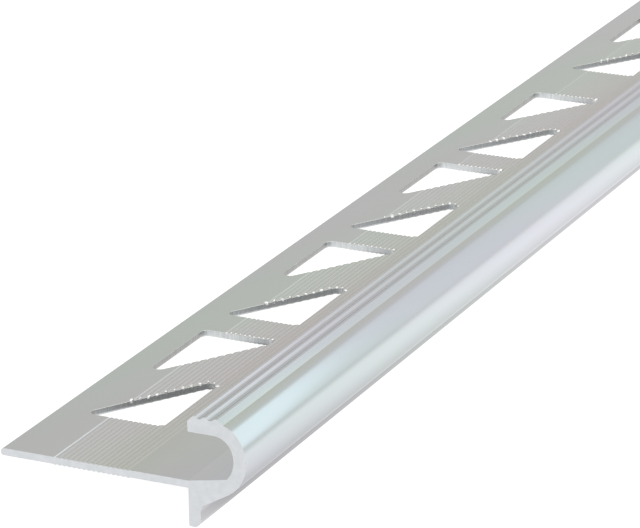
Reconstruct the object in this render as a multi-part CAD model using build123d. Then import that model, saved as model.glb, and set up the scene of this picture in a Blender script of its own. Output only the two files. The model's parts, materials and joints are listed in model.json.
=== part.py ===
from build123d import *
import math
import os

# Stair nosing: one extruded aluminium bar, with holes punched through its leg.
# Sizes are in millimetres. The section is drawn in x, from the leg's outer edge
# towards the nose, and z, up from the leg's top face. The bar runs along y.

# Length that the bar is sold in
bar_length = 1000.0

# Anchoring leg, which lies in the adhesive under the tile
leg_reach = 30.1            # outer edge to the line where the tile ends
leg_thickness = 1.1

# Fine keying grooves along the top of the leg
key_start = 8.8             # outer edge to the first groove
key_pitch = 0.785
key_count = 16
key_width = 0.6
key_depth = 0.2

# Half-round nose, open towards the tile
nose_height = 11.0          # underside of the leg to the tops of the tread ribs
nose_drop = 1.0             # underside of the leg to the bottom of the half round
nose_wall = 1.95
nose_setback = 3.05         # tile line to the middle of the half round
lip_thickness = 2.5         # tread ribs to the ceiling of the pocket
ramp_angle = 10.5           # slope of the pocket's floor, degrees
tip_radius = 1.0            # upper corner of the lip
tip_break = 0.2             # lower corner of the lip
ceiling_radius = 3.0        # between the pocket's ceiling and its round end
floor_radius = 0.6          # between the pocket's floor and its round end

# Tread ribs on top of the nose, left between shallow grooves
tread_first = 1.78          # tile line to the first groove's middle
tread_pitch = 1.7
tread_count = 2
tread_depth = 0.3
tread_top_width = 1.3
tread_floor_width = 0.64
last_rib_width = 0.4
last_rib_flank = 0.4        # run of the last rib's slope down to the half round

# Drip edge, which hangs over the riser
drip_thickness = 1.85
drip_length = 3.2           # outer side, below the corner with the gusset
gusset_angle = 30.0         # slope of the underside between nose and drip, degrees
gusset_radius = 1.5
drip_outer_radius = 1.1
drip_inner_radius = 0.3
leg_corner_radius = 0.3     # between the leg's underside and the drip

# Punched holes: pairs of right triangles whose long sides face each other
hole_width = 13.1           # across the leg
hole_length = 21.0          # along the bar
hole_corner_radius = 1.1
hole_outer_edge = 5.0       # outer edge of the leg to the pair's outer side
hole_inner_edge = 17.5      # outer edge of the leg to the pair's inner side
slant_web = 8.7             # metal between the long sides of a pair
pair_web = 7.5              # metal between one pair and the next
pairs_per_stroke = 4        # one stroke of the punch
stroke_web = 16.8           # bar's end to the first hole, and stroke to stroke
least_end_web = 5.0         # least metal after the last hole

# Places worked out from the sizes above
tile_line = leg_reach
rib_top = nose_height - leg_thickness
ceiling = rib_top - lip_thickness
nose_radius = (nose_height + nose_drop) / 2
pocket_radius = nose_radius - nose_wall
centre_x = tile_line + nose_setback
centre_z = rib_top - nose_radius
drip_outer = tile_line + drip_thickness
edge_radius = leg_thickness / 2
long_side = math.hypot(hole_width, hole_length)
leaning_gap = (hole_inner_edge - hole_outer_edge - hole_width) * hole_length / hole_width
pair_length = hole_length + slant_web * long_side / hole_width - leaning_gap
pair_pitch = pair_length + pair_web


def slope(degrees):
    return math.tan(math.radians(degrees))


def on_circle(radius, degrees):
    # point on a circle about the nose's middle, measured from straight down
    turn = math.radians(degrees)
    return centre_x + radius * math.sin(turn), centre_z - radius * math.cos(turn)


def pocket_floor_end():
    # where the sloping floor meets the pocket's round end
    rise = slope(ramp_angle)
    above_floor = centre_z - rise * (centre_x - tile_line)
    spread = 1 + rise ** 2
    run = (rise * above_floor + math.sqrt(spread * pocket_radius ** 2 - above_floor ** 2)) / spread
    x = centre_x + run
    return x, rise * (x - tile_line)


def at_ceiling():
    rise = ceiling - centre_z
    return centre_x + math.sqrt(pocket_radius ** 2 - rise ** 2), ceiling


def last_rib_ends():
    # top corner of the last rib, and the foot of its flank on the half round
    last_groove = tile_line + tread_first + (tread_count - 1) * tread_pitch
    top = last_groove + tread_top_width / 2 + last_rib_width
    foot = top + last_rib_flank
    return top, (foot, centre_z + math.sqrt(nose_radius ** 2 - (foot - centre_x) ** 2))


def gusset_ends():
    # where the slope between nose and drip leaves the half round and meets the drip
    top = on_circle(nose_radius, gusset_angle)
    return top, (drip_outer, top[1] - slope(gusset_angle) * (top[0] - drip_outer))


drip_bottom = gusset_ends()[1][1] - drip_length


def near(corners, point):
    return corners.sort_by_distance(Vector(*point))[0]


def outline():
    floor_end = pocket_floor_end()
    ceiling_end = at_ceiling()
    pocket_end = (centre_x + pocket_radius, centre_z)
    rib_end, rib_foot = last_rib_ends()
    nose_end = (centre_x + nose_radius, centre_z)
    gusset_top, gusset_foot = gusset_ends()
    lip_top = (tile_line, rib_top)
    lip_under = (tile_line, ceiling)
    drip_in = (tile_line, drip_bottom)
    drip_out = (drip_outer, drip_bottom)
    leg_corner = (tile_line, -leg_thickness)

    lines = [
        Line((edge_radius, 0), (tile_line, 0)),
        Line((tile_line, 0), floor_end),
        ThreePointArc(floor_end, pocket_end, ceiling_end),
        Polyline(ceiling_end, lip_under, lip_top, (rib_end, rib_top), rib_foot),
        ThreePointArc(rib_foot, nose_end, gusset_top),
        Polyline(gusset_top, gusset_foot, drip_out, drip_in, leg_corner, (edge_radius, -leg_thickness)),
        ThreePointArc((edge_radius, -leg_thickness), (0, -edge_radius), (edge_radius, 0)),
    ]
    section = make_face(Curve() + lines)
    rounded = [
        (floor_end, floor_radius),
        (ceiling_end, ceiling_radius),
        (lip_under, tip_break),
        (lip_top, tip_radius),
        (gusset_foot, gusset_radius),
        (drip_out, drip_outer_radius),
        (drip_in, drip_inner_radius),
        (leg_corner, leg_corner_radius),
    ]
    for point, radius in rounded:
        section = fillet(near(section.vertices(), point), radius)
    return section


def tread_grooves():
    grooves = []
    for i in range(tread_count):
        x = tile_line + tread_first + i * tread_pitch
        floor = rib_top - tread_depth
        half_top = tread_top_width / 2
        half_floor = tread_floor_width / 2
        grooves.append(Polygon((x - half_top, rib_top), (x - half_floor, floor),
                               (x + half_floor, floor), (x + half_top, rib_top), align=None))
    return grooves


def key_grooves():
    grooves = []
    for i in range(key_count):
        x = key_start + i * key_pitch
        half = key_width / 2
        grooves.append(Polygon((x - half, 0), (x, -key_depth), (x + half, 0), align=None))
    return grooves


def section():
    return outline() - tread_grooves() - key_grooves()


def pair_starts():
    # near ends of the hole pairs along the bar
    stroke_pitch = (pairs_per_stroke - 1) * pair_pitch + pair_length + stroke_web
    starts = []
    stroke = stroke_web
    while stroke + pair_length + least_end_web <= bar_length:
        for i in range(pairs_per_stroke):
            start = stroke + i * pair_pitch
            if start + pair_length + least_end_web <= bar_length:
                starts.append(start)
        stroke += stroke_pitch
    return starts


def hole():
    # right triangle, its square corner at the origin
    triangle = Polygon((0, 0), (0, hole_length), (-hole_width, 0), align=None)
    return fillet(triangle.vertices(), hole_corner_radius)


def punches():
    inner = hole()
    outer = Rot(0, 0, 180) * inner
    shapes = []
    for start in pair_starts():
        shapes.append(Pos(hole_inner_edge, start) * inner)
        shapes.append(Pos(hole_outer_edge, start + pair_length) * outer)
    base = Pos(0, 0, -2 * leg_thickness)
    return [extrude(base * shape, 3 * leg_thickness) for shape in shapes]


def rest_tilt():
    # the bar lies on the leg's rounded edge and the rounded inner corner of the drip
    run = tile_line + drip_inner_radius - edge_radius
    drop = -edge_radius - (drip_bottom + drip_inner_radius)
    return math.degrees(math.atan2(drop, run)
                        + math.asin((drip_inner_radius - edge_radius) / math.hypot(run, drop)))


def nosing():
    bar = extrude(Plane.XZ * section(), -bar_length) - punches()
    bar = Rot(0, -rest_tilt(), 0) * bar
    box = bar.bounding_box()
    return Pos(-box.center().X, -box.center().Y, -box.min.Z) * bar


if __name__ == "__main__":
    os.makedirs("parts", exist_ok=True)
    export_step(nosing(), "parts/nosing_profile.step")
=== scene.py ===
import bmesh
import bpy
import json
import math
import random
from mathutils import Matrix, Vector


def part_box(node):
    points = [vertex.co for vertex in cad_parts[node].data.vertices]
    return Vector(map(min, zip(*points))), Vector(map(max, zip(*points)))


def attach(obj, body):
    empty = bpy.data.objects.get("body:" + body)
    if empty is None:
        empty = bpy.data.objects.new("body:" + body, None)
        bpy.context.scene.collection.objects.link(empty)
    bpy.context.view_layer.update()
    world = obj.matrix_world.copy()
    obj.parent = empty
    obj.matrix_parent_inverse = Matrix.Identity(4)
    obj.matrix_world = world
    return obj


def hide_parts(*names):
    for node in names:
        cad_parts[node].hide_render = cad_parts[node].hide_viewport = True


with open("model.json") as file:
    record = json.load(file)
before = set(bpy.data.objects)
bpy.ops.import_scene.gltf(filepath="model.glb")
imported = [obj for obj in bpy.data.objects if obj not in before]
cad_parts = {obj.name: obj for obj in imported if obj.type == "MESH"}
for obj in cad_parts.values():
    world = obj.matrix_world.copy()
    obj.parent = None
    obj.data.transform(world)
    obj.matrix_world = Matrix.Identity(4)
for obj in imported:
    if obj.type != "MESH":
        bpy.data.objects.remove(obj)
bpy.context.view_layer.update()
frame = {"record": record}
print("frame loaded")

mm = 0.001
node = "nosing_profile"


def hexColour(text):
    # sRGB hex to the linear values that shaders work in
    parts = [int(text[i:i + 2], 16) / 255 for i in (0, 2, 4)]
    linear = [c / 12.92 if c <= 0.04045 else ((c + 0.055) / 1.055) ** 2.4 for c in parts]
    return (*linear, 1.0)


def addNode(tree, kind, settings=None, inputs=None):
    # inputs, by name or place, hold plain values or the sockets that feed them
    new = tree.nodes.new(kind)
    for name, value in (settings or {}).items():
        setattr(new, name, value)
    for name, value in (inputs or {}).items():
        if isinstance(value, bpy.types.NodeSocket):
            tree.links.new(value, new.inputs[name])
        else:
            new.inputs[name].default_value = value
    return new


def newMaterial(name):
    material = bpy.data.materials.new(name)
    material.use_nodes = True
    material.node_tree.nodes.clear()
    return material, material.node_tree


# places of the finishes in the bar's list of materials
slots = {"film": 0, "sawn": 1, "punched": 2, "burr": 3}

# the section is drawn in mm: x from the leg's outer edge, z up from the leg's top
bar = {
    "length": 1000.0,
    "legReach": 30.1,
    "legThickness": 1.1,
    "noseHeight": 11.0,
    "noseDrop": 1.0,
    "noseWall": 1.95,
    "noseSetback": 3.05,
    "lipThickness": 2.5,
    "rampAngle": 10.5,
    "tipRadius": 0.3,
    "tipBreak": 0.2,
    "ceilingRadius": 3.0,
    "floorRadius": 0.6,
    "gussetAngle": 30.0,
    "gussetRadius": 1.5,
    "dripThickness": 1.85,
    "dripLength": 3.2,
    "dripOuterRadius": 1.1,
    "dripInnerRadius": 0.3,
    "legCornerRadius": 0.3,
    "fineness": 0.002,      # how far a round's facets may leave the true curve
    "joinWithin": 0.001,
    "sharpAngle": 25,       # degrees: an edge that turns more is shaded sharp
    "wideFlat": 0.5,        # a wider strip of the section is shaded flat
}

tread = {
    "tipDrop": 0.9,         # the lip's corner is bevelled up to the first rib
    "first": 1.1,           # tile line to the first groove's near edge
    "pitch": 1.72,
    "count": 2,
    "depth": 0.38,
    "flank": 0.4,           # run of the groove's side that looks towards the nose
    "floorWidth": 0.5,
    "rise": 0.52,           # run of its other side
    "firstLift": 0.08,
    "firstRadius": 0.26,
    "crestRadius": 0.2,
    "riseRadius": 0.3,
    "footRadius": 0.1,
    "lastWidth": 0.335,
    "lastRadius": 0.2,
    "footPlace": 64.5,      # last rib's foot, in degrees round the nose
    "footSink": 0.2,        # its depth below the half round
    "shoulder": 46.0,       # where the surface behind the foot reaches the half round
}

keying = {
    "start": 8.8,           # leg's outer edge to the first groove's middle
    "pitch": 0.785,
    "count": 16,
    "width": 0.42,
    "depth": 0.15,
    "crestRadius": 0.12,
    "firstFlank": 0.12,     # run of the flat zone's drop to the first groove
    "firstRadius": 0.03,
    "underDepth": 0.1,      # ribs on the underside
    "underWidth": 0.45,
    "underRadius": 0.05,
}


def steps(radius, sweep, fineness):
    # an even number, so a round has a facet edge at its crest
    return 2 * max(1, math.ceil(sweep / (4 * math.acos(1 - fineness / radius))))


def spinAbout(bm, pen, middle, axis, turn, count):
    spun = bmesh.ops.spin(bm, geom=[pen], cent=middle, axis=axis, angle=turn, steps=count,
                          use_merge=False, use_duplicate=False)
    return [v for v in spun["geom_last"] if isinstance(v, bmesh.types.BMVert)][0]


def spinTo(bm, pen, middle, sweep, radius):
    # sweep runs from +x towards +z when it is positive
    axis = (0, -1 if sweep > 0 else 1, 0)
    turn = abs(sweep)
    return spinAbout(bm, pen, middle, axis, turn, steps(radius, turn, bar["fineness"]))


def lineTo(bm, pen, point):
    end = bm.verts.new(point)
    bm.edges.new((pen, end))
    return end


def cornerRound(corner, back, ahead, radius):
    # where the round of a corner starts, its middle and how far it turns
    half = back.angle(ahead) / 2
    start = corner + back * radius / math.tan(half)
    middle = corner + (back + ahead).normalized() * radius / math.sin(half)
    return start, middle, math.pi - 2 * half


def drawRun(bm, pen, corners):
    # straight runs whose corners are rounded: each corner is x, z and radius
    points = [Vector((x, 0, z)) for x, z, radius in corners]
    for i, (x, z, radius) in enumerate(corners):
        if not radius:
            pen = lineTo(bm, pen, points[i])
            continue
        back = (pen.co - points[i]).normalized()
        ahead = (points[i + 1] - points[i]).normalized()
        start, middle, turn = cornerRound(points[i], back, ahead, radius)
        if back.cross(ahead).y < 0:
            turn = -turn
        pen = lineTo(bm, pen, start)
        pen = spinTo(bm, pen, middle, turn, radius)
    return pen


def touchInside(start, slope, side, middle, radius, small):
    # a small round between a straight line and the inside of a circle: its middle, and
    # where it touches the line
    along = Vector((math.cos(slope), 0, math.sin(slope)))
    off = Vector((-math.sin(slope), 0, math.cos(slope))) * side
    reach = middle - start
    run = reach.dot(along) + math.sqrt((radius - small) ** 2 - (reach.dot(off) - small) ** 2)
    return start + along * run + off * small, start + along * run


def bearing(middle, point):
    away = point - middle
    return math.atan2(away.z, away.x)


def grooveMiddles():
    return [keying["start"] + i * keying["pitch"] for i in range(keying["count"])]


def keyingRun():
    # grooves with rounded crests between them; the first is steep towards the flat zone
    corners = []
    half = keying["width"] / 2
    flank, radius = keying["firstFlank"], keying["firstRadius"]
    for x in grooveMiddles():
        corners += [
            (x - flank, 0, radius),
            (x, -keying["depth"], 0),
            (x + half, 0, keying["crestRadius"]),
        ]
        flank, radius = half, keying["crestRadius"]
    return corners


def undersideRun(base):
    # ribs, drawn towards the leg's outer edge
    corners = []
    half = keying["underWidth"] / 2
    low = base - keying["underDepth"]
    for x in reversed(grooveMiddles()):
        corners += [
            (x + half, base, 0),
            (x + half / 2, low, keying["underRadius"]),
            (x - half / 2, low, keying["underRadius"]),
            (x - half, base, 0),
        ]
    return corners


def onRound(middle, radius, degrees):
    turn = math.radians(degrees)
    return middle + Vector((math.cos(turn), 0, math.sin(turn))) * radius


def treadRun(top, tileLine):
    # the lip's bevel, then a groove and a rib in turn; the first rib is a round crest
    corners = [(tileLine, top - tread["tipDrop"], bar["tipRadius"])]
    low = top - tread["depth"]
    lift, radius = tread["firstLift"], tread["firstRadius"]
    for i in range(tread["count"]):
        x = tileLine + tread["first"] + i * tread["pitch"]
        floor = x + tread["flank"]
        rise = floor + tread["floorWidth"]
        corners += [
            (x - lift, top + lift, radius),
            (floor, low, tread["footRadius"]),
            (rise, low, tread["footRadius"]),
            (rise + tread["rise"], top, tread["riseRadius"]),
        ]
        lift, radius = 0, tread["crestRadius"]
    corners.append((corners[-1][0] + tread["lastWidth"], top, tread["lastRadius"]))
    return corners


def drawSection(bm):
    tileLine = bar["legReach"]
    top = bar["noseHeight"] - bar["legThickness"]
    ceiling = top - bar["lipThickness"]
    under = -bar["legThickness"]
    edge = bar["legThickness"] / 2
    radius = (bar["noseHeight"] + bar["noseDrop"]) / 2
    pocket = radius - bar["noseWall"]
    middle = Vector((tileLine + bar["noseSetback"], 0, top - radius))
    slope = math.radians(bar["rampAngle"])
    gusset = math.radians(bar["gussetAngle"])

    # leg's top, with its keying grooves
    first = pen = bm.verts.new((edge, 0, 0))
    pen = drawRun(bm, pen, keyingRun() + [(tileLine, 0, 0)])

    # pocket: sloping floor, round end and ceiling
    floorMiddle, floorTouch = touchInside(
        Vector((tileLine, 0, 0)), slope, 1, middle, pocket, bar["floorRadius"])
    ceilingMiddle = touchInside(
        Vector((tileLine, 0, ceiling)), 0, -1, middle, pocket, bar["ceilingRadius"])[0]
    low = bearing(middle, floorMiddle)
    high = bearing(middle, ceilingMiddle)
    pen = lineTo(bm, pen, floorTouch)
    pen = spinTo(bm, pen, floorMiddle, low - bearing(floorMiddle, floorTouch), bar["floorRadius"])
    pen = spinTo(bm, pen, middle, high - low, pocket)
    pen = spinTo(bm, pen, ceilingMiddle, math.pi / 2 - high, bar["ceilingRadius"])

    # lip and tread ribs
    foot = onRound(middle, radius - tread["footSink"], tread["footPlace"])
    shoulder = onRound(middle, radius, tread["shoulder"])
    pen = drawRun(bm, pen, [(tileLine, ceiling, bar["tipBreak"])]
                  + treadRun(top, tileLine) + [(foot.x, foot.z, 0)])

    # shoulder that runs into the half round, the half round, then the slope to the drip
    across = shoulder - foot
    out = (shoulder - middle).normalized()
    wide = across.length_squared / (2 * across.dot(out))
    shoulderMiddle = shoulder - out * wide
    end = bearing(middle, shoulder)
    pen = spinTo(bm, pen, shoulderMiddle, end - bearing(shoulderMiddle, foot), wide)
    sweep = end - (gusset - math.pi / 2)
    pen = spinTo(bm, pen, middle, -sweep, radius)
    dripOuter = tileLine + bar["dripThickness"]
    gussetFoot = pen.co.z - math.tan(gusset) * (pen.co.x - dripOuter)
    dripBottom = gussetFoot - bar["dripLength"]
    pen = drawRun(bm, pen, [
        (dripOuter, gussetFoot, bar["gussetRadius"]),
        (dripOuter, dripBottom, bar["dripOuterRadius"]),
        (tileLine, dripBottom, bar["dripInnerRadius"]),
        (tileLine, under, bar["legCornerRadius"]),
    ] + undersideRun(under) + [(edge, under, 0)])

    # leg's rounded outer edge closes the section
    pen = spinTo(bm, pen, Vector((edge, 0, -edge)), -math.pi, edge)
    bmesh.ops.remove_doubles(bm, verts=[first, pen], dist=bar["joinWithin"])


def makeBar():
    bm = bmesh.new()
    drawSection(bm)
    face = bmesh.ops.contextual_create(bm, geom=bm.edges[:])["faces"][0]
    grown = bmesh.ops.extrude_face_region(bm, geom=[face], use_keep_orig=True)["geom"]
    bmesh.ops.translate(bm, verts=[v for v in grown if isinstance(v, bmesh.types.BMVert)],
                        vec=(0, bar["length"], 0))
    for f in bm.faces:
        f.material_index = slots["sawn"] if abs(f.normal.y) > 0.5 else slots["film"]
    bmesh.ops.recalc_face_normals(bm, faces=bm.faces[:])
    return bm


# pairs of right triangles whose long sides face each other
holes = {
    "width": 13.1,
    "length": 21.0,
    "cornerRadius": 1.1,
    "outerEdge": 5.0,
    "innerEdge": 17.5,
    "slantWeb": 8.7,
    "pairWeb": 7.5,
    "pairsPerStroke": 4,
    "strokeWeb": 16.8,
    "leastEndWeb": 5.0,
    "topBreak": 0.05,       # sharp upper edge, where the punch came out
    "rollRadius": 0.34,     # lower edge, which the punch drew in
    "rollSteps": 4,
    "rollTurn": 80,         # degrees of the quarter round that are kept
    "above": 1.0,           # how far the cutter stands over the leg
    "fineness": 0.02,
}

burrs = {
    "radii": (0.22, 0.26, 0.18),
    "lift": 0.08,
    "inward": 0.2,          # away from the hole
    "reach": 0.004,         # from a groove's middle: the bottom of the groove alone
    "facing": -0.3,         # how far the wall must look towards the near end
    "spread": 0.15,
    "slanting": 0.3,        # where the wall slants more than this, the flakes are
    "larger": 1.5,          # this much larger
    "slantSpread": 0.4,
    "lean": 0.5,            # radians
    "deepest": 1.5,         # groove depths below the leg's top
    "around": 6,            # facets of a flake
    "rings": 4,
    "seed": 5,
}


def pairPlaces():
    longSide = math.hypot(holes["width"], holes["length"])
    overlap = holes["innerEdge"] - holes["outerEdge"] - holes["width"]
    lean = overlap * holes["length"] / holes["width"]
    pair = holes["length"] + holes["slantWeb"] * longSide / holes["width"] - lean
    pitch = pair + holes["pairWeb"]
    stroke = (holes["pairsPerStroke"] - 1) * pitch + pair + holes["strokeWeb"]
    places = []
    half = Matrix.Rotation(math.pi, 4, "Z")
    for k in range(math.ceil(bar["length"] / stroke)):
        for i in range(holes["pairsPerStroke"]):
            y = holes["strokeWeb"] + k * stroke + i * pitch
            if y + pair + holes["leastEndWeb"] <= bar["length"]:
                places.append(Matrix.Translation((holes["innerEdge"], y, 0)))
                places.append(Matrix.Translation((holes["outerEdge"], y + pair, 0)) @ half)
    return places


def drawHole(bm, grow):
    # outline of one hole, grown evenly all round
    a, b = holes["width"], holes["length"]
    inner = (a + b - math.hypot(a, b)) / 2
    scale = (inner + grow) / inner
    centre = Vector((-inner, inner, 0))
    corners = [centre + (Vector(p) - centre) * scale for p in ((0, 0, 0), (0, b, 0), (-a, 0, 0))]
    radius = holes["cornerRadius"] + grow
    first = pen = None
    for i in range(3):
        back = (corners[i - 1] - corners[i]).normalized()
        ahead = (corners[(i + 1) % 3] - corners[i]).normalized()
        place, middle, turn = cornerRound(corners[i], back, ahead, radius)
        start = bm.verts.new(place)
        if pen:
            bm.edges.new((pen, start))
        first = first or start
        # as many steps at every height, so the rings can be bridged
        count = steps(holes["cornerRadius"], turn, holes["fineness"])
        pen = spinAbout(bm, start, middle, ahead.cross(back), turn, count)
    bm.edges.new((pen, first))


def cutterMesh():
    # rolled in at the bottom, straight, then a narrow break at the top
    under = -bar["legThickness"]
    roll = holes["rollRadius"]
    levels = []
    for k in range(holes["rollSteps"] + 1):
        turn = math.radians(holes["rollTurn"]) * k / holes["rollSteps"]
        levels.append((under + roll * (1 - math.sin(turn)), roll * (1 - math.cos(turn))))
    levels.append((under - roll, levels[-1][1] + roll))
    levels.reverse()
    levels += [(-holes["topBreak"], 0.0), (holes["above"], holes["above"] + holes["topBreak"])]
    bm = bmesh.new()
    rings = []
    for z, grow in levels:
        before = set(bm.edges)
        drawHole(bm, grow)
        ring = [e for e in bm.edges if e not in before]
        for v in {v for e in ring for v in e.verts}:
            v.co.z = z
        rings.append(ring)
    for below, above in zip(rings, rings[1:]):
        bmesh.ops.bridge_loops(bm, edges=below + above)
    bmesh.ops.contextual_create(bm, geom=rings[0])
    bmesh.ops.contextual_create(bm, geom=rings[-1])
    bmesh.ops.recalc_face_normals(bm, faces=bm.faces[:])
    for f in bm.faces:
        f.material_index = slots["punched"]
    mesh = bpy.data.meshes.new("punch")
    bm.to_mesh(mesh)
    bm.free()
    return mesh


def makePunches():
    one = cutterMesh()
    bm = bmesh.new()
    for place in pairPlaces():
        copy = one.copy()
        copy.transform(place)
        bm.from_mesh(copy)
        bpy.data.meshes.remove(copy)
    bpy.data.meshes.remove(one)
    return bm


def asObject(bm, name, materials=()):
    mesh = bpy.data.meshes.new(name)
    bm.to_mesh(mesh)
    bm.free()
    for material in materials:
        mesh.materials.append(material)
    piece = bpy.data.objects.new(name, mesh)
    bpy.context.scene.collection.objects.link(piece)
    return piece


def cutHoles(piece, punches):
    cut = piece.modifiers.new("holes", "BOOLEAN")
    cut.operation = "DIFFERENCE"
    cut.solver = "EXACT"
    cut.material_mode = "INDEX"
    cut.object = punches
    ready = bpy.context.evaluated_depsgraph_get()
    mesh = bpy.data.meshes.new_from_object(piece.evaluated_get(ready))
    piece.modifiers.clear()
    uncut = piece.data
    piece.data = mesh
    bpy.data.meshes.remove(uncut)
    mesh.name = piece.name
    bpy.data.objects.remove(punches)


def burrSpots(bm):
    # groove bottoms at the hole edges that the punch cut last, each a little way into the metal
    low = keying["start"] - keying["firstFlank"]
    high = keying["start"] + keying["count"] * keying["pitch"]
    deepest = -burrs["deepest"] * keying["depth"]
    spots = []
    for v in bm.verts:
        walls = [f.normal for f in v.link_faces if f.material_index == slots["punched"]]
        tops = [f for f in v.link_faces if f.material_index == slots["film"]]
        if not walls or not tops or not low < v.co.x < high or v.co.z < deepest:
            continue
        groove = round((v.co.x - keying["start"]) / keying["pitch"])
        across = abs(v.co.x - keying["start"] - groove * keying["pitch"])
        if walls[0].y < burrs["facing"] and across < burrs["reach"]:
            place = v.co - walls[0] * burrs["inward"] + Vector((0, 0, burrs["lift"]))
            spots.append((groove, v.co.y, place, abs(walls[0].x) > burrs["slanting"]))
    # a Boolean's vertices come in a new order each run, so the spots get an order of their own
    spots.sort(key=lambda spot: spot[:2])
    return [spot[2:] for spot in spots]


def addBurrs(mesh):
    # a smeared flake on each spot, a little different in size and lean
    ball = bmesh.new()
    bmesh.ops.create_uvsphere(ball, u_segments=burrs["around"], v_segments=burrs["rings"], radius=1)
    for f in ball.faces:
        f.material_index = slots["burr"]
    flake = bpy.data.meshes.new("burr")
    ball.to_mesh(flake)
    ball.free()
    bm = bmesh.new()
    bm.from_mesh(mesh)
    draw = random.Random(burrs["seed"])
    spots = burrSpots(bm)
    print("burrs:", len(spots))
    for spot, slants in spots:
        larger = burrs["larger"] if slants else 1
        spread = burrs["slantSpread"] if slants else burrs["spread"]
        size = [larger * r * draw.uniform(1 - spread, 1 + spread) for r in burrs["radii"]]
        lean = Matrix.Rotation(draw.uniform(-1, 1) * burrs["lean"], 4, "X")
        copy = flake.copy()
        copy.transform(Matrix.Translation(spot) @ lean @ Matrix.Diagonal((*size, 1)))
        bm.from_mesh(copy)
        bpy.data.meshes.remove(copy)
    bpy.data.meshes.remove(flake)
    bm.to_mesh(mesh)
    bm.free()


def restPlace():
    # from the section's frame in mm to the lying bar in metres
    axis = next(m for m in frame["record"]["mounts"] if m["name"] == "tile_bed")["axis"]
    tilt = math.atan2(-axis[0], axis[2])
    return Matrix.Rotation(-tilt, 4, "Y") @ Matrix.Scale(mm, 4)


def shadeByAngle(mesh):
    # wide flats keep their own flat shade, narrow strips of a round are smooth
    sharp = math.radians(bar["sharpAngle"])
    smooth = (slots["film"], slots["burr"])
    bm = bmesh.new()
    bm.from_mesh(mesh)
    for f in bm.faces:
        across = [(v.co.x, v.co.z) for v in f.verts]
        spread = max(math.hypot(a[0] - across[0][0], a[1] - across[0][1]) for a in across)
        f.smooth = spread < bar["wideFlat"] and f.material_index in smooth
    for e in bm.edges:
        e.smooth = e.is_manifold and e.calc_face_angle(0) < sharp
    print("open edges:", sum(not e.is_manifold for e in bm.edges), "faces:", len(bm.faces),
          "triangles:", sum(len(f.verts) - 2 for f in bm.faces))
    bm.to_mesh(mesh)
    bm.free()


finish = {
    # anodic film over the section: mm from the leg's outer edge, colour. Across the leg these are
    # the film's own tints; the stops from 35 mm on, round the half round, are painted reflection:
    # the greenish and bluish tints of the bands that the half round mirrors
    "face": [(0, "c4c8c6"), (8, "c6c9c6"), (14, "c6c6c3"), (19, "c2c1bc"), (24, "c7c6c6"),
             (33, "c4c6c8"), (35.2, "c2c8ca"), (35.8, "c6cac5"), (37, "c2c7cb"), (39, "c2c7cb")],
    # its tint drifts between two colours: periods in mm along the section's x, the bar and z
    "tints": ("fbfffb", "fffbff"),
    "tintPeriods": (-32, 130, 17.3),
    "tintStart": -2.1,
    "tintWander": 0.6,
    "tintDetail": (1.0, 3.0),   # how much of it, and its scale
    "faceRoughness": 0.22,
    "dieLineWidth": 0.25,   # mm
    "dieLineLength": 90,
    "dieLineDepth": 0.0006,
    "end": "dcdee2",
    "endDark": "d3d6d8",
    "endRoughness": 0.5,
    "endMark": 1.2,         # mm
    "endDetail": 4.0,
    "wall": "c6c6c5",
    "wallDark": "b4b4b2",
    "paintedLitWall": "e3e6e7",   # painted light: walls that face the near end are painted lighter, as if lit
    "paintedLitWallDark": "cfd2d3",
    # how far a wall faces the near end where the painted light starts, and where it is full
    "paintedLitFacing": (-0.2, -0.5),
    "wallRoughness": 0.4,
    "wallStreak": (0.35, 0.35, 7.0),    # mm
    "burr": "f6f6f4",
    "burrRoughness": 0.3,
    "noiseEnds": (0.3, 0.7),    # noise seldom leaves these
}


def sectionPlace(tree):
    # object coordinates turned back to the section's frame, in mm
    place = addNode(tree, "ShaderNodeTexCoord")
    turned = addNode(tree, "ShaderNodeMapping", {"vector_type": "TEXTURE"}, {
        "Vector": place.outputs["Object"], "Location": rest.to_translation(),
        "Rotation": rest.to_quaternion().to_euler(), "Scale": (mm, mm, mm)})
    return turned.outputs["Vector"]


def ramp(tree, value, stops):
    # each stop is a value and the colour there
    low, high = stops[0][0], stops[-1][0]
    scaled = addNode(tree, "ShaderNodeMapRange", None, {
        "Value": value, "From Min": low, "From Max": high})
    new = addNode(tree, "ShaderNodeValToRGB", None, {"Fac": scaled.outputs["Result"]})
    marks = new.color_ramp.elements
    while len(marks) < len(stops):
        marks.new(0.5)
    for mark, (place, colour) in zip(marks, stops):
        mark.position = (place - low) / (high - low)
        mark.color = colour
    return new.outputs["Color"]


def streaks(tree, sizes, detail=2.0):
    # noise stretched to the given sizes along the section's x, y and z, in mm
    stretched = addNode(tree, "ShaderNodeMapping", None, {
        "Vector": sectionPlace(tree), "Scale": tuple(1 / size for size in sizes)})
    return addNode(tree, "ShaderNodeTexNoise", None, {
        "Vector": stretched.outputs["Vector"], "Scale": 1.0, "Detail": detail}).outputs["Fac"]


def blend(tree, noise, dark, bright):
    return ramp(tree, noise, list(zip(finish["noiseEnds"], (hexColour(dark), hexColour(bright)))))


def metal(name, colour, roughness, bump=None):
    # colour is one value, or a function that makes its nodes, as bump is
    material, tree = newMaterial(name)
    inputs = {"Base Color": colour(tree) if callable(colour) else colour,
              "Metallic": 1.0, "Roughness": roughness}
    if bump:
        height, depth = bump(tree)
        dent = addNode(tree, "ShaderNodeBump", None, {"Height": height, "Distance": depth * mm})
        inputs["Normal"] = dent.outputs["Normal"]
    shader = addNode(tree, "ShaderNodeBsdfPrincipled", None, inputs)
    addNode(tree, "ShaderNodeOutputMaterial", None, {"Surface": shader.outputs["BSDF"]})
    return material


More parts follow.
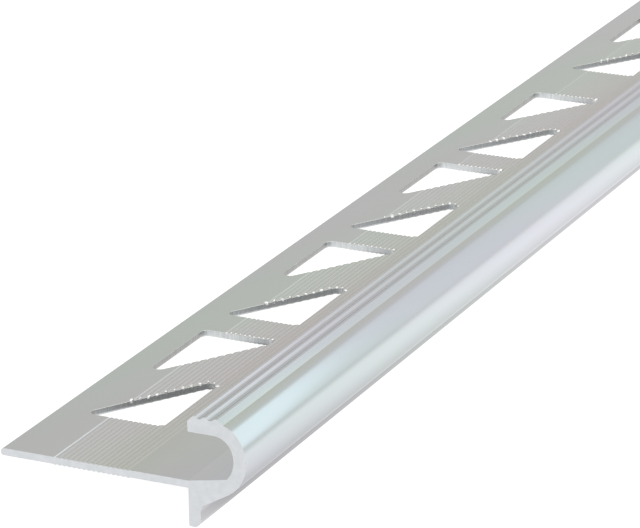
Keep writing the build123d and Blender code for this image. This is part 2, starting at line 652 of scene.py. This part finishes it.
def anodisedAluminium():
    # natural anodised extrusion: satin, nearly colourless, with faint die lines along the bar, and
    # painted reflection tints round the half round
    def colour(tree):
        apart = addNode(tree, "ShaderNodeSeparateXYZ", None, {"Vector": sectionPlace(tree)})
        stops = [(x, hexColour(text)) for x, text in finish["face"]]
        # the film's own tints across the leg, and painted reflection tints round the half round
        film = ramp(tree, apart.outputs["X"], stops)
        # a diagonal wave turns by 10 radians in a unit
        scale = tuple(math.tau / 10 / period for period in finish["tintPeriods"])
        detail, detailScale = finish["tintDetail"]
        stretched = addNode(tree, "ShaderNodeMapping", None, {
            "Vector": sectionPlace(tree), "Scale": scale})
        wave = addNode(tree, "ShaderNodeTexWave", {"bands_direction": "DIAGONAL"}, {
            "Vector": stretched.outputs["Vector"], "Scale": 1.0, "Distortion": finish["tintWander"],
            "Detail": detail, "Detail Scale": detailScale, "Phase Offset": finish["tintStart"]})
        tints = [(place, hexColour(text)) for place, text in enumerate(finish["tints"])]
        # a mix node's colours are its inputs 6 and 7, and output 2
        return addNode(tree, "ShaderNodeMix", {"data_type": "RGBA", "blend_type": "MULTIPLY"}, {
            0: 1.0, 6: film, 7: ramp(tree, wave.outputs["Fac"], tints)}).outputs[2]

    def lines(tree):
        width = finish["dieLineWidth"]
        return streaks(tree, (width, finish["dieLineLength"], width)), finish["dieLineDepth"]

    return metal("natural_anodised_aluminium", colour, finish["faceRoughness"], lines)


def sawnAluminium():
    # end cut with a circular saw: bright and matt, a little blotchy
    def colour(tree):
        marks = streaks(tree, (finish["endMark"],) * 3, finish["endDetail"])
        return blend(tree, marks, finish["endDark"], finish["end"])

    return metal("sawn_aluminium", colour, finish["endRoughness"])


def punchedAluminium():
    # sheared wall of a hole, streaked the way the punch went; painted light makes the walls that
    # face the near end lighter
    def colour(tree):
        marks = streaks(tree, finish["wallStreak"])
        normal = addNode(tree, "ShaderNodeTexCoord").outputs["Normal"]
        facing = addNode(tree, "ShaderNodeSeparateXYZ", None, {"Vector": normal}).outputs["Y"]
        # painted light: the more a wall faces the near end, the more it takes the lighter colour
        start, end = finish["paintedLitFacing"]
        share = addNode(tree, "ShaderNodeMapRange", None, {
            "Value": facing, "From Min": start, "From Max": end})
        return addNode(tree, "ShaderNodeMix", {"data_type": "RGBA"}, {
            0: share.outputs["Result"],
            6: blend(tree, marks, finish["wallDark"], finish["wall"]),
            7: blend(tree, marks, finish["paintedLitWallDark"], finish["paintedLitWall"])}).outputs[2]

    return metal("punched_aluminium", colour, finish["wallRoughness"])


def burrAluminium():
    # bare metal smeared by the punch: it glints
    return metal("burnished_aluminium", hexColour(finish["burr"]), finish["burrRoughness"])


piece = asObject(makeBar(), "stair_nosing_bar")
print("section extruded")
cutHoles(piece, asObject(makePunches(), "punches"))
print("holes cut")
addBurrs(piece.data)
shadeByAngle(piece.data)
rest = restPlace()
piece.data.transform(rest)

# the CAD bar is centred in x and y, and stands on the floor
low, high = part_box(node)
points = [v.co for v in piece.data.vertices]
least = [min(p[i] for p in points) for i in range(3)]
most = [max(p[i] for p in points) for i in range(3)]
shift = Vector([(low[i] + high[i]) / 2 - (least[i] + most[i]) / 2 for i in range(3)])
shift.z = low.z - least[2]
piece.data.transform(Matrix.Translation(shift))
rest = Matrix.Translation(shift) @ rest
for material in (anodisedAluminium(), sawnAluminium(), punchedAluminium(), burrAluminium()):
    piece.data.materials.append(material)
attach(piece, "root")
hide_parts(node)
print("bar made")


stageLook = {
    "floor": "959595",
    "floorRoughness": 0.8,
    "glow": 0.92,           # the floor is lit from below too, so its shadows stay pale
    "floorReach": 4.0,
    # brightness of the floor as the metal mirrors it: dim under the bar; row x in mm
    "mirroredX": (-32, -22, -15, -12, -9, -5, 11, 14, 16, 18, 21, 25, 31, 38),
    "mirroredNear": (0.75, 1.0, 1.05, 0.95, 0.85, 0.2, 0.2,
                     0.76, 0.75, 0.72, 0.8, 0.97, 1.09, 1.165),
    "mirroredFar": (0.75, 1.1, 1.15, 1.05, 0.95, 0.55, 0.5,
                    0.98, 0.98, 0.96, 0.98, 1.15, 1.25, 1.33),
    "mirroredMost": 1.4,
    "farStart": (-530, -340),   # row y in mm, between which near turns to far
    "mirroredFront": 1.08,  # in front of the near end
    "frontEnds": (-500, -486),
    "left": 0.765,          # brightness of the room on the two sides
    "right": 0.915,
    "sideEnds": (-0.5, 0.6),    # x of a direction, between which left turns to right
    "horizon": 0.46,        # brighter low down on the right
    "horizonTop": (-0.01, 0.06),
    "horizonSide": (0.0, 0.4),
    "air": "fdfdfb",
}

lights = {
    # place and aim in m, sides in m, turn about the aim in degrees, power in W
    "overhead": {"place": (-0.1, 0.0, 1.4), "aim": (0.0, 0.0, 0.0),
                 "size": (2.4, 2.4), "turn": 0, "power": 8, "colour": "ffffff"},
    "sideBack": {"place": (0.56, 0.83, 0.61), "aim": (0.012, -0.49, 0.01),
                 "size": (0.95, 0.6), "turn": 45, "power": 0.35, "colour": "e6f6ff"},
    "nearSide": {"place": (0.0814, -0.3619, 0.0767), "aim": (0.0165, -0.495, 0.016),
                 "size": (0.095, 0.03), "turn": 45, "power": 0.0058, "colour": "dcf2ff"},
}


def newFloor(name, material):
    bm = bmesh.new()
    bmesh.ops.create_grid(bm, x_segments=1, y_segments=1, size=stageLook["floorReach"])
    floor = asObject(bm, name, [material])
    return floor


def makeFloor():
    material, tree = newMaterial("pale_floor")
    shader = addNode(tree, "ShaderNodeBsdfPrincipled", None, {
        "Base Color": hexColour(stageLook["floor"]), "Roughness": stageLook["floorRoughness"],
        "Emission Color": hexColour("ffffff"), "Emission Strength": stageLook["glow"]})
    addNode(tree, "ShaderNodeOutputMaterial", None, {"Surface": shader.outputs["BSDF"]})
    floor = newFloor("floor", material)
    floor.visible_glossy = False


def makeMirroredFloor():
    # what the metal mirrors instead of the floor: the shade beside and under the bar, which
    # the photo's cut-out background no longer shows
    material, tree = newMaterial("mirrored_floor")
    place = addNode(tree, "ShaderNodeTexCoord")
    apart = addNode(tree, "ShaderNodeSeparateXYZ", None, {"Vector": place.outputs["Object"]})
    most = stageLook["mirroredMost"]

    # shade across the bar, near and far, as a share of the brightest
    shades = []
    for name in ("mirroredNear", "mirroredFar"):
        stops = [(x * mm, (value / most,) * 3 + (1.0,))
                 for x, value in zip(stageLook["mirroredX"], stageLook[name])]
        shades.append(ramp(tree, apart.outputs["X"], stops))

    # along the bar: from near to far, the bar's part, and the part in front of it
    fades = []
    for ends, start, end in ((stageLook["farStart"], 0, 1),
                             (stageLook["frontEnds"], 0, most),
                             (stageLook["frontEnds"], stageLook["mirroredFront"], 0)):
        fade = addNode(tree, "ShaderNodeMapRange", {"interpolation_type": "SMOOTHSTEP"}, {
            "Value": apart.outputs["Y"], "From Min": ends[0] * mm, "From Max": ends[1] * mm,
            "To Min": start, "To Max": end})
        fades.append(fade.outputs["Result"])
    far, behind, front = fades

    beside = addNode(tree, "ShaderNodeMix", {"data_type": "RGBA"}, {
        0: far, 6: shades[0], 7: shades[1]}).outputs[2]
    strength = addNode(tree, "ShaderNodeMath", {"operation": "MULTIPLY_ADD"}, {
        0: beside, 1: behind, 2: front})
    glow = addNode(tree, "ShaderNodeEmission", None, {"Strength": strength.outputs["Value"]})
    addNode(tree, "ShaderNodeOutputMaterial", None, {"Surface": glow.outputs["Emission"]})
    floor = newFloor("mirrored_floor", material)
    floor.visible_camera = False
    floor.visible_diffuse = False
    floor.visible_transmission = False
    floor.visible_shadow = False


def makeWorld():
    world = bpy.data.worlds.new("studio")
    world.use_nodes = True
    tree = world.node_tree
    tree.nodes.clear()
    way = addNode(tree, "ShaderNodeTexCoord")
    sides = addNode(tree, "ShaderNodeSeparateXYZ", None, {"Vector": way.outputs["Generated"]})

    # the room from left to right, and the horizon's height and side
    fades = []
    for axis, ends, start, end in (
            ("X", stageLook["sideEnds"], stageLook["left"], stageLook["right"]),
            ("Z", stageLook["horizonTop"], stageLook["horizon"], 0),
            ("X", stageLook["horizonSide"], 0, 1)):
        fade = addNode(tree, "ShaderNodeMapRange", {"interpolation_type": "SMOOTHSTEP"}, {
            "Value": sides.outputs[axis], "From Min": ends[0], "From Max": ends[1],
            "To Min": start, "To Max": end})
        fades.append(fade.outputs["Result"])
    room, height, side = fades

    strength = addNode(tree, "ShaderNodeMath", {"operation": "MULTIPLY_ADD"}, {
        0: height, 1: side, 2: room})
    back = addNode(tree, "ShaderNodeBackground", None, {
        "Color": hexColour(stageLook["air"]), "Strength": strength.outputs["Value"]})
    addNode(tree, "ShaderNodeOutputWorld", None, {"Surface": back.outputs["Background"]})
    bpy.context.scene.world = world


def makeLights():
    for name, values in lights.items():
        data = bpy.data.lights.new(name, "AREA")
        data.shape = "RECTANGLE"
        data.size, data.size_y = values["size"]
        data.energy = values["power"]
        data.color = hexColour(values["colour"])[:3]
        lamp = bpy.data.objects.new(name, data)
        lamp.visible_camera = False
        place = Vector(values["place"])
        lamp.location = place
        turned = (Vector(values["aim"]) - place).to_track_quat("-Z", "Y").to_matrix().to_4x4()
        turned = turned @ Matrix.Rotation(math.radians(values["turn"]), 4, "Z")
        lamp.rotation_euler = turned.to_euler()
        bpy.context.scene.collection.objects.link(lamp)


camera = {
    # worked out in the section's frame, where the leg lies level: mm and degrees
    "place": (258.8, -445.1, 208.6),
    "heading": 115.06,
    "dip": 19.45,
    "roll": 0.4,
    "lens": 217.46,
    "sensor": 36.0,
    "clip": (0.01, 20),     # m
}


def makeCamera():
    heading = math.radians(camera["heading"])
    dip = math.radians(camera["dip"])
    ahead = Vector((math.cos(dip) * math.cos(heading), math.cos(dip) * math.sin(heading),
                    -math.sin(dip)))
    right = ahead.cross(Vector((0, 0, 1))).normalized()
    right = Matrix.Rotation(math.radians(camera["roll"]), 3, ahead) @ right
    up = right.cross(ahead)
    turn = Matrix((right, up, -ahead)).transposed().to_4x4()
    world = rest @ Matrix.Translation(camera["place"]) @ turn
    data = bpy.data.cameras.new("photo_view")
    data.sensor_fit = "HORIZONTAL"
    data.sensor_width = camera["sensor"]
    data.lens = camera["lens"]
    data.clip_start, data.clip_end = camera["clip"]
    eye = bpy.data.objects.new("photo_view", data)
    turned = world.to_quaternion().to_matrix().to_4x4()
    eye.matrix_world = Matrix.Translation(world.to_translation()) @ turned
    bpy.context.scene.collection.objects.link(eye)
    bpy.context.scene.camera = eye


makeFloor()
makeMirroredFloor()
makeWorld()
makeLights()
makeCamera()
bpy.context.scene.view_settings.view_transform = "Standard"
print("floor, light and camera placed")
